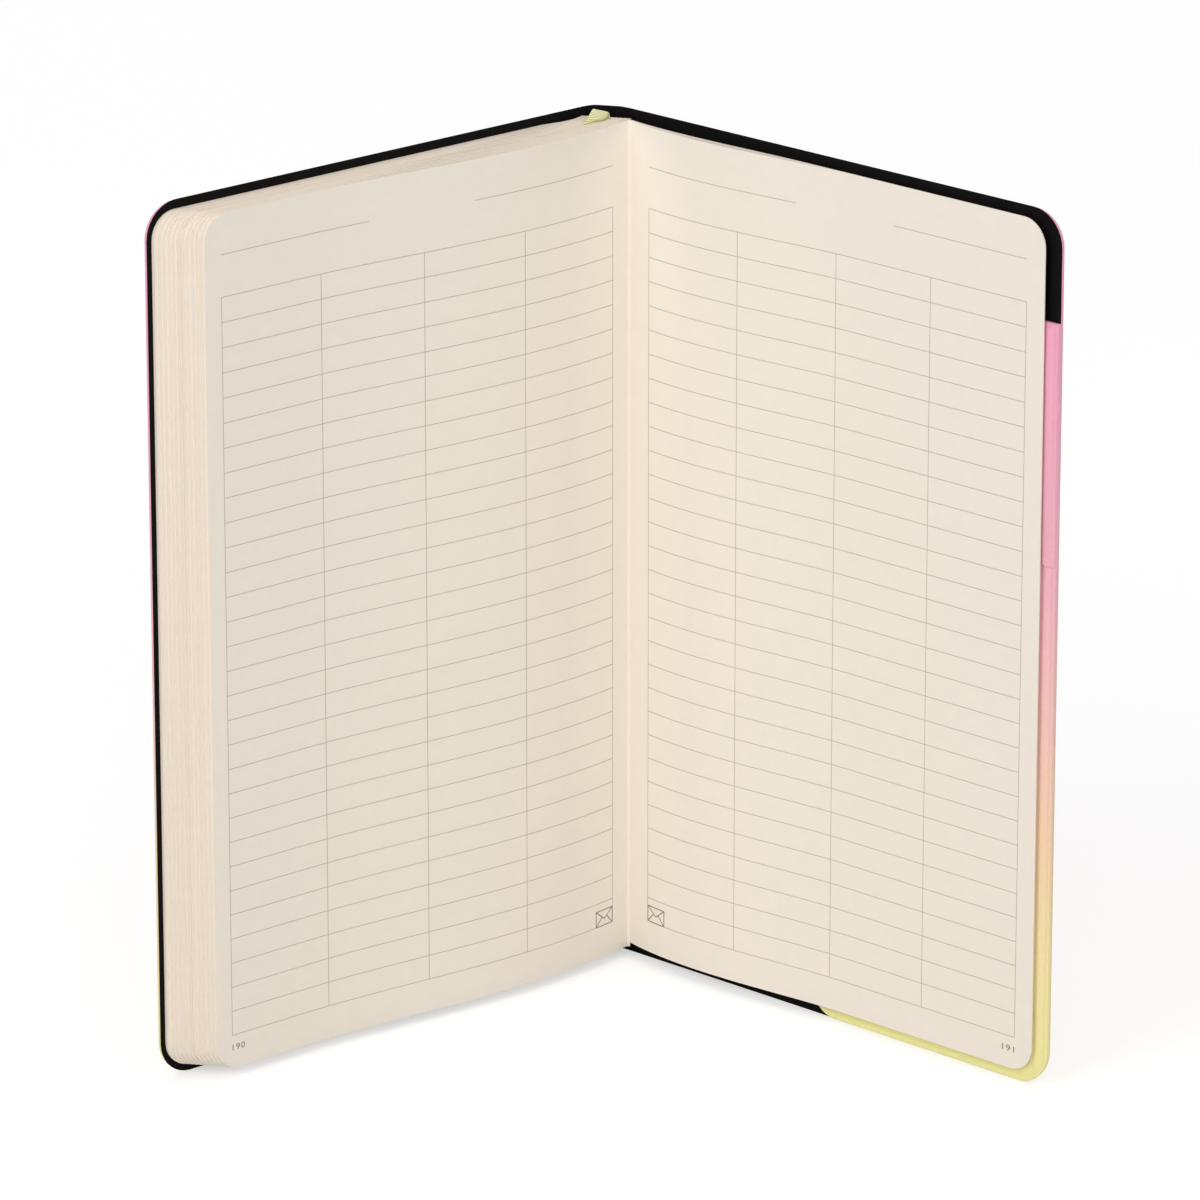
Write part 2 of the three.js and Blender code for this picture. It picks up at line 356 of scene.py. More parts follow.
def mull():
    """Cotton mull of the spine: an open plain weave with a thread each 1 mm, sized and matt. The
    colour is darker between the threads, as painted shade and where the darker glue shows through.
    """
    material, tree, shader = new_material("mull_cotton", 0.9)
    place = spine_place(tree)
    split = separated(tree, place)
    weave = sums(tree, "MAXIMUM", wave(tree, split["X"], 0.001), wave(tree, split["Z"], 0.001))
    fluff = noise(tree, place, 0.0006)
    relief = sums(tree, "MULTIPLY_ADD", fluff, 0.5, weave)
    # Darker between the threads: painted shade, and partly the glue seen through the open weave
    coloured(tree, shader, linear(0xE6E0CF), ranged(tree, relief, -0.6, 1.3, 0.55, 1.05))
    embossed(tree, shader, relief, 0.6, 0.0001)
    return material


def dried_glue():
    """Binding glue brushed over the folds: a dried yellowish film with brush streaks, satin."""
    material, tree, shader = new_material("glue_dried", 0.4, 1.47)
    streaks = noise(tree, mapped(tree, spine_place(tree), "Scale", (1, 1, 0.12)), 0.0008)
    coloured(tree, shader, linear(0xD9CFAE), ranged(tree, streaks, 0.3, 0.7, 0.88, 1.08))
    embossed(tree, shader, streaks, 0.4, 0.00008)
    return material


def linen_thread():
    """Waxed linen sewing thread, twisted: low lustre, with strands at a slant each 0.3 mm. The
    colour is painted darker between the strands, as shade.
    """
    material, tree, shader = new_material("thread_linen", 0.65)
    place = spine_place(tree)
    split = separated(tree, place)
    slant = sums(tree, "ADD", split["X"], split["Z"])
    strands = wave(tree, slant, 0.0003)
    # Painted shade: the colour darkens between the twisted strands
    coloured(tree, shader, linear(0xF1ECE0), ranged(tree, strands, -1.0, 1.0, 0.75, 1.05))
    embossed(tree, shader, strands, 0.5, 0.00006)
    return material


def repeat_tree():
    """Repeats a piece in even steps, each copy moved a little at random along one direction"""
    tree = bpy.data.node_groups.get("repeat_in_steps")
    if tree:
        return tree
    tree = bpy.data.node_groups.new("repeat_in_steps", "GeometryNodeTree")
    for name, kind in (
        ("Geometry", "NodeSocketGeometry"),
        ("Count", "NodeSocketInt"),
        ("Step", "NodeSocketVector"),
        ("Stray", "NodeSocketVector"),
        ("Seed", "NodeSocketInt"),
        ("Material", "NodeSocketMaterial"),
    ):
        tree.interface.new_socket(name, in_out="INPUT", socket_type=kind)
    tree.interface.new_socket("Geometry", in_out="OUTPUT", socket_type="NodeSocketGeometry")
    given = tree.nodes.new("NodeGroupInput").outputs
    line = tool(
        tree,
        "GeometryNodeMeshLine",
        {"mode": "OFFSET"},
        links={"Count": given["Count"], "Offset": given["Step"]},
    ).outputs["Mesh"]
    least = tool(
        tree, "ShaderNodeVectorMath", {"operation": "SCALE"}, {"Scale": -1.0}, {0: given["Stray"]}
    ).outputs["Vector"]
    stray = tool(
        tree,
        "FunctionNodeRandomValue",
        {"data_type": "FLOAT_VECTOR"},
        links={"Min": least, "Max": given["Stray"], "Seed": given["Seed"]},
    ).outputs["Value"]
    placed = tool(
        tree, "GeometryNodeSetPosition", links={"Geometry": line, "Offset": stray}
    ).outputs["Geometry"]
    copies = tool(
        tree,
        "GeometryNodeInstanceOnPoints",
        links={"Points": placed, "Instance": given["Geometry"]},
    ).outputs["Instances"]
    real = tool(tree, "GeometryNodeRealizeInstances", links={"Geometry": copies}).outputs
    finished = tool(
        tree,
        "GeometryNodeSetMaterial",
        links={"Geometry": real["Geometry"], "Material": given["Material"]},
    ).outputs["Geometry"]
    tool(tree, "NodeGroupOutput", links={"Geometry": finished})
    return tree


def repeated(piece, count, step, material, stray=(0, 0, 0), seed=1):
    """Turns a piece into count copies of it, step apart in millimetres, as one plain mesh"""
    tree = repeat_tree()
    modifier = piece.modifiers.new("repeat", "NODES")
    modifier.node_group = tree
    values = {
        "Count": count,
        "Step": [value / 1000 for value in step],
        "Stray": [value / 1000 for value in stray],
        "Seed": seed,
        "Material": material,
    }
    for item in tree.interface.items_tree:
        if item.in_out == "INPUT" and item.name in values:
            modifier[item.identifier] = values[item.name]
    bpy.context.view_layer.update()
    graph = bpy.context.evaluated_depsgraph_get()
    mesh = bpy.data.meshes.new_from_object(piece.evaluated_get(graph))
    old = piece.data
    piece.modifiers.clear()
    piece.data = mesh
    bpy.data.meshes.remove(old)
    mesh.name = piece.name


class Builder:
    """Gathers vertices, in millimetres in the closed book, and faces into one closed mesh,
    with a UV map that holds each vertex's distance and height along its sheet in metres."""

    def __init__(self):
        self.shape = bmesh.new()
        self.layer = self.shape.loops.layers.uv.new("sheet")
        self.places = {}
        self.cut = set()

    def vertex(self, across, out, height, distance, rise):
        vertex = self.shape.verts.new((across / 1000, out / 1000, height / 1000))
        self.places[vertex] = (distance / 1000, rise / 1000)
        return vertex

    def face(self, *vertices):
        return self.shape.faces.new(vertices)

    def loft(self, rows, cut=()):
        """Joins rows of vertices, each a closed ring, and closes both ends. The sides numbered
        in cut, and then the ends too, are cut edges of a sheet: their UV lies 1 m further on."""
        for a, b in zip(rows, rows[1:]):
            for i in range(len(a)):
                side = self.face(a[i - 1], a[i], b[i], b[i - 1])
                if i in cut:
                    self.cut.add(side)
        ends = {self.face(*rows[0]), self.face(*rows[-1])}
        if cut:
            self.cut |= ends

    def piece(self, name, material, sharp=40):
        bmesh.ops.recalc_face_normals(self.shape, faces=self.shape.faces)
        for face in self.shape.faces:
            shift = 1.0 if face in self.cut else 0.0
            for loop in face.loops:
                distance, rise = self.places[loop.vert]
                loop[self.layer].uv = (distance + shift, rise)
        mesh = bpy.data.meshes.new(name)
        self.shape.to_mesh(mesh)
        self.shape.free()
        piece = new_piece(name, mesh, material)
        for polygon in mesh.polygons:
            polygon.use_smooth = True
        mesh.set_sharp_from_angle(angle=math.radians(sharp))
        return piece


def new_piece(name, mesh, material):
    piece = bpy.data.objects.new(name, mesh)
    bpy.context.scene.collection.objects.link(piece)
    mesh.materials.clear()
    mesh.materials.append(material)
    return piece


def stations(length, radius, fine=30.0, step=1.5, coarse=3.6, also=()):
    """Distances along a sheet: close together near its fold and round its corner"""
    near = max(1, round(fine / step))
    places = [fine * i / near for i in range(near)]
    rest = length - radius - fine
    far = max(1, round(rest / coarse))
    places += [fine + rest * i / far for i in range(far)]
    places += [length - radius + radius * math.sin(math.pi / 2 * i / 9) for i in range(10)]
    places = [d for d in places if all(abs(d - extra) > 0.3 for extra in also)]
    return sorted([*places, *also])


def add_sheet(builder, path, foot, head, corner):
    """A standing sheet. path lists (inner point, outer point, distance) in plan, and the corners
    at its far end are rounded."""
    length = path[-1][2]
    rows = []
    for inner, outer, distance in path:
        into = max(distance - (length - corner), 0.0)
        rise = corner - math.sqrt(max(corner * corner - into * into, 0.0))
        row = []
        for (across, out), height in (
            (inner, foot + rise),
            (outer, foot + rise),
            (outer, head - rise),
            (inner, head - rise),
        ):
            row.append(builder.vertex(across, out, height, distance, height))
        rows.append(row)
    builder.loft(rows, (1, 3))


def add_shell(builder, path, foot, head, corner, radius, side):
    """A standing board whose inner face reaches its edge, and whose outer edge is rounded"""
    length = path[-1][2]
    rows, before = [], path[0][0]
    for inner, outer, distance in path:
        travel = (inner - before).normalized()
        before = inner
        into = max(distance - (length - corner), 0.0)
        lean = math.asin(min(into / corner, 1.0))
        thickness = math.dist(inner, outer)
        round_edge = min(radius, 0.92 * thickness)
        low, high = [], []
        for k in range(8):
            turn = math.pi / 12 * max(k - 1, 0)
            inset = round_edge * (1 - math.cos(turn)) if k else 0.0
            depth = thickness - round_edge * (1 - math.sin(turn)) if k else 0.0
            across, out = inner.lerp(outer, depth / thickness) - travel * inset * math.sin(lean)
            drop = corner * (1 - math.cos(lean)) + inset * math.cos(lean)
            along = side * (distance + (depth - inset) * math.sin(lean))
            lift = depth * math.cos(lean)
            low.append(builder.vertex(across, out, foot + drop, along, foot + drop - lift))
            high.append(builder.vertex(across, out, head - drop, along, head - drop + lift))
        rows.append(low + high[::-1])
    builder.loft(rows[:-1])
    builder.shape.faces.ensure_lookup_table()
    cap = builder.shape.faces[-1]
    builder.shape.faces.remove(cap)
    a, b = rows[-2], rows[-1]
    for i in range(len(a)):
        builder.face(a[i - 1], a[i], b[i], b[i - 1])
    half = len(b) // 2
    for k in range(half - 1):
        builder.face(b[k], b[k + 1], b[-2 - k], b[-1 - k])


def leaf_path(across, out, thickness, places):
    """The plan of a leaf that hangs straight down from its fold in the closed book"""
    half = thickness / 2
    return [((across - half, out - d), (across + half, out - d), d) for d in places]


def open_out(piece, fold):
    """Moves a piece of the closed book to its place in the open book"""
    for vertex in piece.data.vertices:
        across, out = fold.opened(vertex.co.x * 1000, vertex.co.y * 1000)
        vertex.co = world(across, out, vertex.co.z * 1000)
    piece.data.update()


def laid(piece):
    """Moves a piece drawn in the open book's plan to its place"""
    for vertex in piece.data.vertices:
        vertex.co = world(*(vertex.co * 1000))
    piece.data.update()


def bending(piece, fold, slot, *nodes):
    """Bakes a piece's place into its mesh and hides the parts of the model that it replaces"""
    fold.at(fold.start)
    fold.at(fold.end)
    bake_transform(piece)
    if nodes:
        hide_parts(*nodes)


def bound(piece, fold, slot, *nodes):
    """Opens a sheet of the closed book out about its fold, and hides the parts that it replaces"""
    open_out(piece, fold)
    bending(piece, fold, slot, *nodes)


def length(name, description, default):
    return FloatProperty(
        name=name, description=description, default=default / 1000, unit="LENGTH", precision=5
    )


def colour(name, description, default):
    return FloatVectorProperty(
        name=name, description=description, subtype="COLOR", default=linear(default)[:3]
    )


class NotebookSizes(bpy.types.PropertyGroup):
    """Sizes and colours of the dressed notebook"""

    lens: FloatProperty(
        name="Lens", description="Focal length of the camera", default=253.8, unit="CAMERA"
    )
    tilt: FloatProperty(
        name="Tilt",
        description="How far the camera looks down",
        default=math.radians(18.5),
        unit="ROTATION",
    )
    height: length("Height", "Height of the case", 210.0)
    case_width: length("Case width", "From each hinge to the fore-edge", 129.2)
    case_thickness: length("Case thickness", "Skin, board and lining of a cover together", 2.2)
    skin_thickness: length("Skin thickness", "Leatherette over the spine and hinges", 0.8)
    case_corner: length("Case corner", "Radius of the covers' corners", 8.5)
    page_width: length("Page width", "From the fold to the fore-edge of a page", 127.0)
    page_stagger: length("Page stagger", "How much further the first signature reaches", 1.0)
    loose_width: length("Last leaf", "Width of the leaves that lean on the back cover", 126.4)
    page_foot: length("Page foot", "Height of the pages' lower edge", 2.0)
    loose_foot: length("Foot of the last leaf", "Height of its lower edge", 3.0)
    page_corner: length("Page corner", "Radius of the pages' corners", 6.5)
    leaf_thickness: length("Leaf thickness", "One leaf of paper", 0.115)
    leaf_pitch: length("Leaf pitch", "From leaf to leaf in a closed signature", 0.12)
    leaves: IntProperty(name="Leaves", description="Leaves in each signature", default=8)
    signatures: IntProperty(name="Signatures", description="Signatures in the block", default=12)
    rows: IntProperty(name="Rows", description="Ruled lines on a page", default=31)
    line_width: length("Line width", "Width of a printed line", 0.17)
    ribbon_width: length("Ribbon width", "Width of the bookmark ribbon", 4.2)
    ink: colour("Ink", "Colour of the ruling", 0xB5ACA1)
    dark_ink: colour("Dark ink", "Colour of the page numbers and pictograms", 0x7C7266)
    paper: colour("Paper", "Colour of a page", 0xEDE5D9)
    paper_edge: colour("Paper edge", "Colour of the cut edges", 0xF2E3D1)
    lining: colour("Lining", "Colour of the lining", 0x080606)
    ribbon: colour("Ribbon", "Colour of the bookmark ribbon", 0xF3F0AC)
    skin_head: colour("Skin at the head", "Top of the gradient", 0xEFA3C0)
    skin_high: colour("Skin above the middle", "Gradient at 58%", 0xEFB2BE)
    skin_upper: colour("Skin at the middle", "Gradient at 43%", 0xF3C2BB)
    skin_middle: colour("Skin below the middle", "Gradient at 29%", 0xF5D2AE)
    skin_low: colour("Skin near the foot", "Gradient at 14%", 0xF5E2A8)
    skin_foot: colour("Skin at the foot", "Foot of the gradient", 0xF1EB9F)

    def mm(self, name):
        return getattr(self, name) * 1000


class NOTEBOOK_OT_stage(bpy.types.Operator):
    """Sets up the camera, the floor and the studio light"""

    bl_idname = "notebook.stage"
    bl_label = "Camera, floor and light"

    def execute(self, context):
        scene, book = context.scene, context.scene.notebook
        scene.view_settings.view_transform = "Standard"
        camera = bpy.data.objects.new("camera", bpy.data.cameras.new("camera"))
        scene.collection.objects.link(camera)
        camera.data.lens = book.lens
        camera.data.sensor_width = 36
        camera.data.clip_end = 20
        camera.location = (-0.00215, -1.91227, 0.728)
        camera.rotation_euler = (math.pi / 2 - book.tilt, 0, 0)
        scene.camera = camera

        scene.world = bpy.data.worlds.new("studio")
        scene.world.use_nodes = True
        tree = scene.world.node_tree
        tree.nodes.clear()
        path = tool(tree, "ShaderNodeLightPath").outputs
        seen = sums(tree, "MAXIMUM", path["Is Camera Ray"], path["Is Glossy Ray"])
        seen = sums(tree, "MAXIMUM", seen, path["Is Transmission Ray"])
        sky = tool(
            tree,
            "ShaderNodeBackground",
            inputs={"Color": (1, 1, 1, 1)},
            links={"Strength": ranged(tree, seen, 0.0, 1.0, 0.42, 1.0)},
        ).outputs["Background"]
        tool(tree, "ShaderNodeOutputWorld", links={"Surface": sky})

        mesh = bpy.data.meshes.new("floor")
        reach = 4.0
        mesh.from_pydata(
            [(-reach, -reach, 0), (reach, -reach, 0), (reach, reach, 0), (-reach, reach, 0)],
            [],
            [(0, 1, 2, 3)],
        )
        material, tree, shader = new_material("floor_paper", 0.9)
        shader.inputs["Specular IOR Level"].default_value = 0.0
        shader.inputs["Emission Color"].default_value = (1, 1, 1, 1)
        # The floor glows to the camera alone, so that it shows as white with a faint shadow
        bounced_grey, seen_grey, glow = 0.8, 0.6, 0.52
        seen = tool(tree, "ShaderNodeLightPath").outputs["Is Camera Ray"]
        grey = ranged(tree, seen, 0.0, 1.0, bounced_grey, seen_grey)
        tree.links.new(grey, shader.inputs["Base Color"])
        lift = sums(tree, "MULTIPLY", seen, glow)
        tree.links.new(lift, shader.inputs["Emission Strength"])
        floor = new_piece("floor", mesh, material)
        floor.location.z = -0.0002

        for name, place, size, energy in (
            ("key", (-1.3, -1.4, 1.3), 1.2, 14.5),
            ("front", (0.2, -2.3, 0.9), 1.4, 15.0),
            ("fill", (1.3, -1.3, 1.1), 1.6, 4.5),
            ("top", (0.0, 0.2, 2.0), 1.6, 6.0),
            ("back", (-0.3, 2.2, 1.0), 1.6, 9.0),
        ):
            light = bpy.data.lights.new(name, "AREA")
            light.size = size
            light.energy = energy
            lamp = bpy.data.objects.new(name, light)
            scene.collection.objects.link(lamp)
            lamp.location = place
            aim = Vector((0, -0.03, 0.1)) - Vector(place)
            lamp.rotation_euler = aim.to_track_quat("-Z", "Y").to_euler()
        return {"FINISHED"}


def bezier(controls, steps):
    """Points along a Bezier curve, after its start, with the direction at each"""
    found = []
    for i in range(1, steps + 1):
        points = controls
        while len(points) > 1:
            ends = points
            points = [a.lerp(b, i / steps) for a, b in zip(points, points[1:])]
        found.append((points[0], (ends[1] - ends[0]).normalized()))
    return found


def case_path(fold, side, book, over=0.0, lined=False):
    """The plan of half the open case, or of its lining, as inner point, outer point and distance:
    the flat of the spine, its shoulder, the joint and the cover, which reaches over its edge"""
    hinge = Vector((fold.across, fold.out))
    way = Vector((math.cos(fold.rest), math.sin(fold.rest)))
    outward = Vector((-side * way.y, side * way.x))
    thin = book.mm("skin_thickness") / 2
    middle = outward * (book.mm("case_thickness") - thin)
    flat, shoulder, end = (Vector((side * x, y)) for x, y in ((3.4, 0.0), (5.98, 0.0), (7.7, -0.9)))
    leaving = (end - shoulder).normalized()
    first, last = end + leaving * 0.15, hinge + way * 2.25 + middle
    reach = (last - first).length / 2.6
    level = Vector((side, 0.0))
    skin = [(flat * (i / 3), level) for i in range(4)]
    skin += bezier([flat, shoulder, end], 8)
    skin += bezier([first, first + leaving * reach, last - way * reach, last], 12)
    corner = hinge - way * ((thin + hinge.y) / way.y)
    start, stop = corner - level * 1.4, corner + way * 3.0
    bed = [(Vector((start.x * i / 3, -thin)), level) for i in range(4)]
    bed += bezier([start, corner, stop], 8)
    bed += [(stop.lerp(hinge + way * 2.25, i / 12), way) for i in range(1, 13)]
    for d in stations(book.mm("case_width") + over, book.mm("case_corner") + over, 24.0, 1.2):
        if d > 2.6:
            skin.append((hinge + way * d + middle, way))
            bed.append((hinge + way * d, way))
    path, distance, before = [], 0.0, skin[0][0]
    for (point, along), (under, below) in zip(skin, bed):
        distance += (point - before).length
        before = point
        face = Vector((-side * along.y, side * along.x))
        lift = Vector((-side * below.y, side * below.x))
        if lined:
            path.append((under - lift * 0.03, under + lift * 0.13, distance))
        else:
            path.append((under, point + face * thin, distance))
    return path


class NOTEBOOK_OT_case(bpy.types.Operator):
    """Makes the leatherette case in two halves, each shaped round its own hinge"""

    bl_idname = "notebook.case"
    bl_label = "Case"

    def execute(self, context):
        book = context.scene.notebook
        skin = leatherette("leatherette_embossed")
        for name, side, joint, rest, start, end in COVERS:
            fold = Fold(joint, rest, start, end)
            builder = Builder()
            path = case_path(fold, side, book)
            add_shell(builder, path, 0.0, book.mm("height"), book.mm("case_corner"), 3.4, side)
            piece = builder.piece(f"case_{name}", skin, 50)
            nodes = [f"{name}_cover_skin", f"{name}_cover_board", f"{name}_joint_skin"]
            if side < 0:
                nodes += ["spine_skin", "spine_stiffener"]
            laid(piece)
            bending(piece, fold, "leatherette", *nodes)
        return {"FINISHED"}


class NOTEBOOK_OT_lining(bpy.types.Operator):
    """Makes the black lining of the spine and of both covers"""

    bl_idname = "notebook.lining"
    bl_label = "Lining"

    def execute(self, context):
        book = context.scene.notebook
        black, over = lining_paper(), 0.02
        for name, side, joint, rest, start, end in COVERS:
            fold = Fold(joint, rest, start, end)
            builder = Builder()
            path = case_path(fold, side, book, over, True)
            add_sheet(builder, path, -over, book.mm("height") + 0.15, book.mm("case_corner") + over)
            piece = builder.piece(f"lining_{name}", black, 60)
            nodes = [f"{name}_cover_lining"]
            if side < 0:
                nodes.append("spine_lining")
            laid(piece)
            bending(piece, fold, "lining", *nodes)
        return {"FINISHED"}


def round_outline(start, end, foot, head, inner, outer):
    """The outline of a panel beside the fore-edge, with lower corners of two radii"""
    points = []
    for centre, radius, first, steps in (
        (start + inner, inner, math.pi, 8),
        (end - outer, outer, -math.pi / 2, 9),
    ):
        for i in range(steps + 1 if radius else 1):
            turn = first + math.pi / 2 * i / steps
            height = foot + radius + radius * math.sin(turn)
            points.append((centre + radius * math.cos(turn), height))
    return [*points, (end, head), (start, head)]


def add_panel(builder, outline, profile, face, out):
    """A flat closed panel on the inside of the back cover. outline lists (distance, height) round
    it, and profile lists (inset, depth) from its back to its front."""
    rings = []
    for inset, depth in profile:
        ring = []
        for i, (distance, height) in enumerate(outline):
            before, after = outline[i - 1], outline[(i + 1) % len(outline)]
            normals = [
                Vector((b[1] - a[1], a[0] - b[0])).normalized()
                for a, b in ((before, outline[i]), (outline[i], after))
            ]
            mitre = (normals[0] + normals[1]) / max(1 + normals[0].dot(normals[1]), 0.3)
            s, z = distance - mitre.x * inset, height - mitre.y * inset
            ring.append(builder.vertex(face - depth, out - s, z, s, z))
        rings.append(ring)
    builder.loft(rings)


class NOTEBOOK_OT_pocket(bpy.types.Operator):
    """Makes the pocket panel and the pen loop on the inside of the back cover"""

    bl_idname = "notebook.pocket"
    bl_label = "Pocket and pen loop"

    def execute(self, context):
        book = context.scene.notebook
        width, corner = book.mm("case_width"), book.mm("case_corner")
        mouth_drop, inner_corner, hem = 25.6, 7.0, 3.75
        loop_width, loop_length = 8, 57.6
        head = book.mm("height") - mouth_drop
        fold = Fold(*COVERS[1][2:])
        skin = leatherette("leatherette_pocket", width - hem)
        folded = [(0.0, -0.2), (0.0, 0.22), (0.06, 0.36), (0.18, 0.45), (0.9, 0.47), (1.02, 0.4)]
        folded += [(1.15, 0.4), (1.3, 0.48)]
        for name, outline, low in (
            (
                "pocket_panel",
                (width * 0.44, width + 0.03, -0.03, head, inner_corner, corner),
                0.05,
            ),
            (
                "pen_loop",
                (width - loop_width, width + 0.05, head - loop_length, head + 0.04, 0.0, 0.0),
                0.55,
            ),
        ):
            builder = Builder()
            add_panel(
                builder,
                round_outline(*outline),
                [(inset, low + depth) for inset, depth in folded],
                fold.across,
                fold.out,
            )
            piece = builder.piece(f"{name}_leatherette", skin, 35)
            open_out(piece, fold)
            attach(piece, "back_cover")
            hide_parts(name)
        return {"FINISHED"}


def column_places():
    """Distances from the fold of the upright rules on the left and the right page"""
    left = [7.0 + 28.85 * i for i in range(5)]
    right = [7.2 + 28.5 * i for i in range(5)]
    return left, right


def page_stations(width, corner, columns):
    """Distances from the fold where both a printed page and its ink have vertices"""
    first, last = columns[0] + 0.1, columns[-1]
    also = [first + ENVELOPE_WIDTH * share for share in (0.34, 0.5, 0.66, 1.0)]
    also += [last - NUMBER_WIDTH * i / 6 for i in range(1, 7)]
    return stations(width, corner, also=[*columns, *also])


class NOTEBOOK_OT_leaves(bpy.types.Operator):
    """Makes the leaves and folds of every signature, and the two leaves on the back cover"""

    bl_idname = "notebook.leaves"
    bl_label = "Leaves"

    def execute(self, context):
        book = context.scene.notebook
        foot, head = book.mm("page_foot"), book.mm("height") - book.mm("page_foot")
        corner, thin = book.mm("page_corner"), book.mm("leaf_thickness")
        left, right = column_places()
        paper = page_paper()
        # Heads at one height would shade each other where neighbouring leaves overlap
        stray = (0, 0.005, 0.02)
        thinner_pitch = 0.101

        def leaf(name, across, out, along, foot=foot):
            builder = Builder()
            add_sheet(builder, leaf_path(across, out, thin, along), foot, head, corner)
            return builder.piece(name, paper, 30)

        for number in range(1, book.signatures + 1):
            fold = leaf_fold(number)
            pitch = book.mm("leaf_pitch")
            reach = pitch * (book.leaves - 1) / 2
            half = book.leaves // 2
            node = [f"signature_{number:02d}"]
            if number == RIBBON_SIGNATURE:
                pitch = thinner_pitch
            far = reach - pitch * (half - 1)
            folded = half - 1 if number == book.signatures else half
            further = book.mm("page_stagger") * (1 - (number - 1) / (book.signatures - 1))
            places = page_stations(book.mm("page_width") + further, corner, left)
            for part, first, count in (("lower", -reach, half), ("upper", far, folded)):
                piece = leaf(f"leaves_{number:02d}_{part}", fold.across + first, fold.out, places)
                repeated(piece, count, (pitch, 0, 0), paper, stray, 2 * number + count)
                bound(piece, fold, "page_paper", *node)
                node = []
            builder = Builder()
            for i in range(half):
                radius = reach - pitch * i
                path = []
                for k in range(9):
                    turn = math.pi * (1 - k / 8)
                    c, s = math.cos(turn), 0.62 * math.sin(turn)
                    ends = [
                        (fold.across + c * r, fold.out + s * r)
                        for r in (radius - thin / 2, radius + thin / 2)
                    ]
                    path.append((*ends, radius * (math.pi - turn)))
                add_sheet(builder, path, foot, head, 0.0)
            bound(builder.piece(f"folds_{number:02d}", paper, 50), fold, "page_paper")
            if number == book.signatures:
                page = leaf("left_page", fold.across + reach, fold.out, places)
                bound(page, fold, "page_paper")
        for name, node, offset, fold in (
            ("right_page", "last_leaf", -LOOSE_OFFSET, right_fold()),
            ("flyleaf", "back_flyleaf", LOOSE_OFFSET, right_fold(-200, 55)),
        ):
            along = page_stations(book.mm("loose_width"), corner, right)
            piece = leaf(name, fold.across + offset, fold.out, along, book.mm("loose_foot"))
            bound(piece, fold, "page_paper", node)

        builder = Builder()
        path = []
        for across, out, distance in ((5.36, -4.2, 0.0), (5.76, -4.24, 0.4), (6.17, -4.12, 0.8)):
            path.append(((across, out - 0.04), (across, out + 0.04), distance))
        add_sheet(builder, path, foot, head, 0.0)
        strip = builder.piece("gutter_fold", paper, 60)
        laid(strip)
        bending(strip, leaf_fold(book.signatures), "page_paper")
        return {"FINISHED"}


class Page:
    """One printed side in the closed book, and the way its ink is laid on it"""

    def __init__(self, name, book):
        left, right = column_places()
        half = book.mm("leaf_thickness") / 2
        self.name = name
        if name == "left":
            self.fold, self.facing, self.columns = leaf_fold(book.signatures), 1, left
            reach = book.mm("leaf_pitch") * (book.leaves - 1) / 2
            self.surface = self.fold.across + reach + half
            width = book.mm("page_width")
        else:
            self.fold, self.facing, self.columns = right_fold(), -1, right
            self.surface = self.fold.across - LOOSE_OFFSET - half
            width = book.mm("loose_width")
        self.places = page_stations(width, book.mm("page_corner"), self.columns)

    def across(self, lift):
        return self.surface + self.facing * lift

    def stroke(self, builder, a, b, width):
        """A thin closed strip of ink between two points, given as distance and height"""
        ends = sorted((a, b))
        along = Vector((ends[1][0] - ends[0][0], ends[1][1] - ends[0][1]))
        side = Vector((-along.y, along.x)).normalized() * width / 2
        share = [0.0]
        if abs(along.x) > 1:
            inside = [p for p in self.places if ends[0][0] + 0.2 < p < ends[1][0] - 0.2]
            share += [(p - ends[0][0]) / along.x for p in inside]
        rows = []
        for k in (*share, 1.0):
            middle = Vector(ends[0]) + along * k
            row = []
            for sign, lift in ((-1, -0.02), (1, -0.02), (1, 0.015), (-1, 0.015)):
                d, z = middle + side * sign
                row.append(builder.vertex(self.across(lift), self.fold.out - d, z, d, z))
            rows.append(row)
        builder.loft(rows)

    def printed(self, name, strokes, width, ink):
        builder = Builder()
        for a, b in strokes:
            self.stroke(builder, a, b, width)
        return builder.piece(f"{name}_{self.name}", ink)


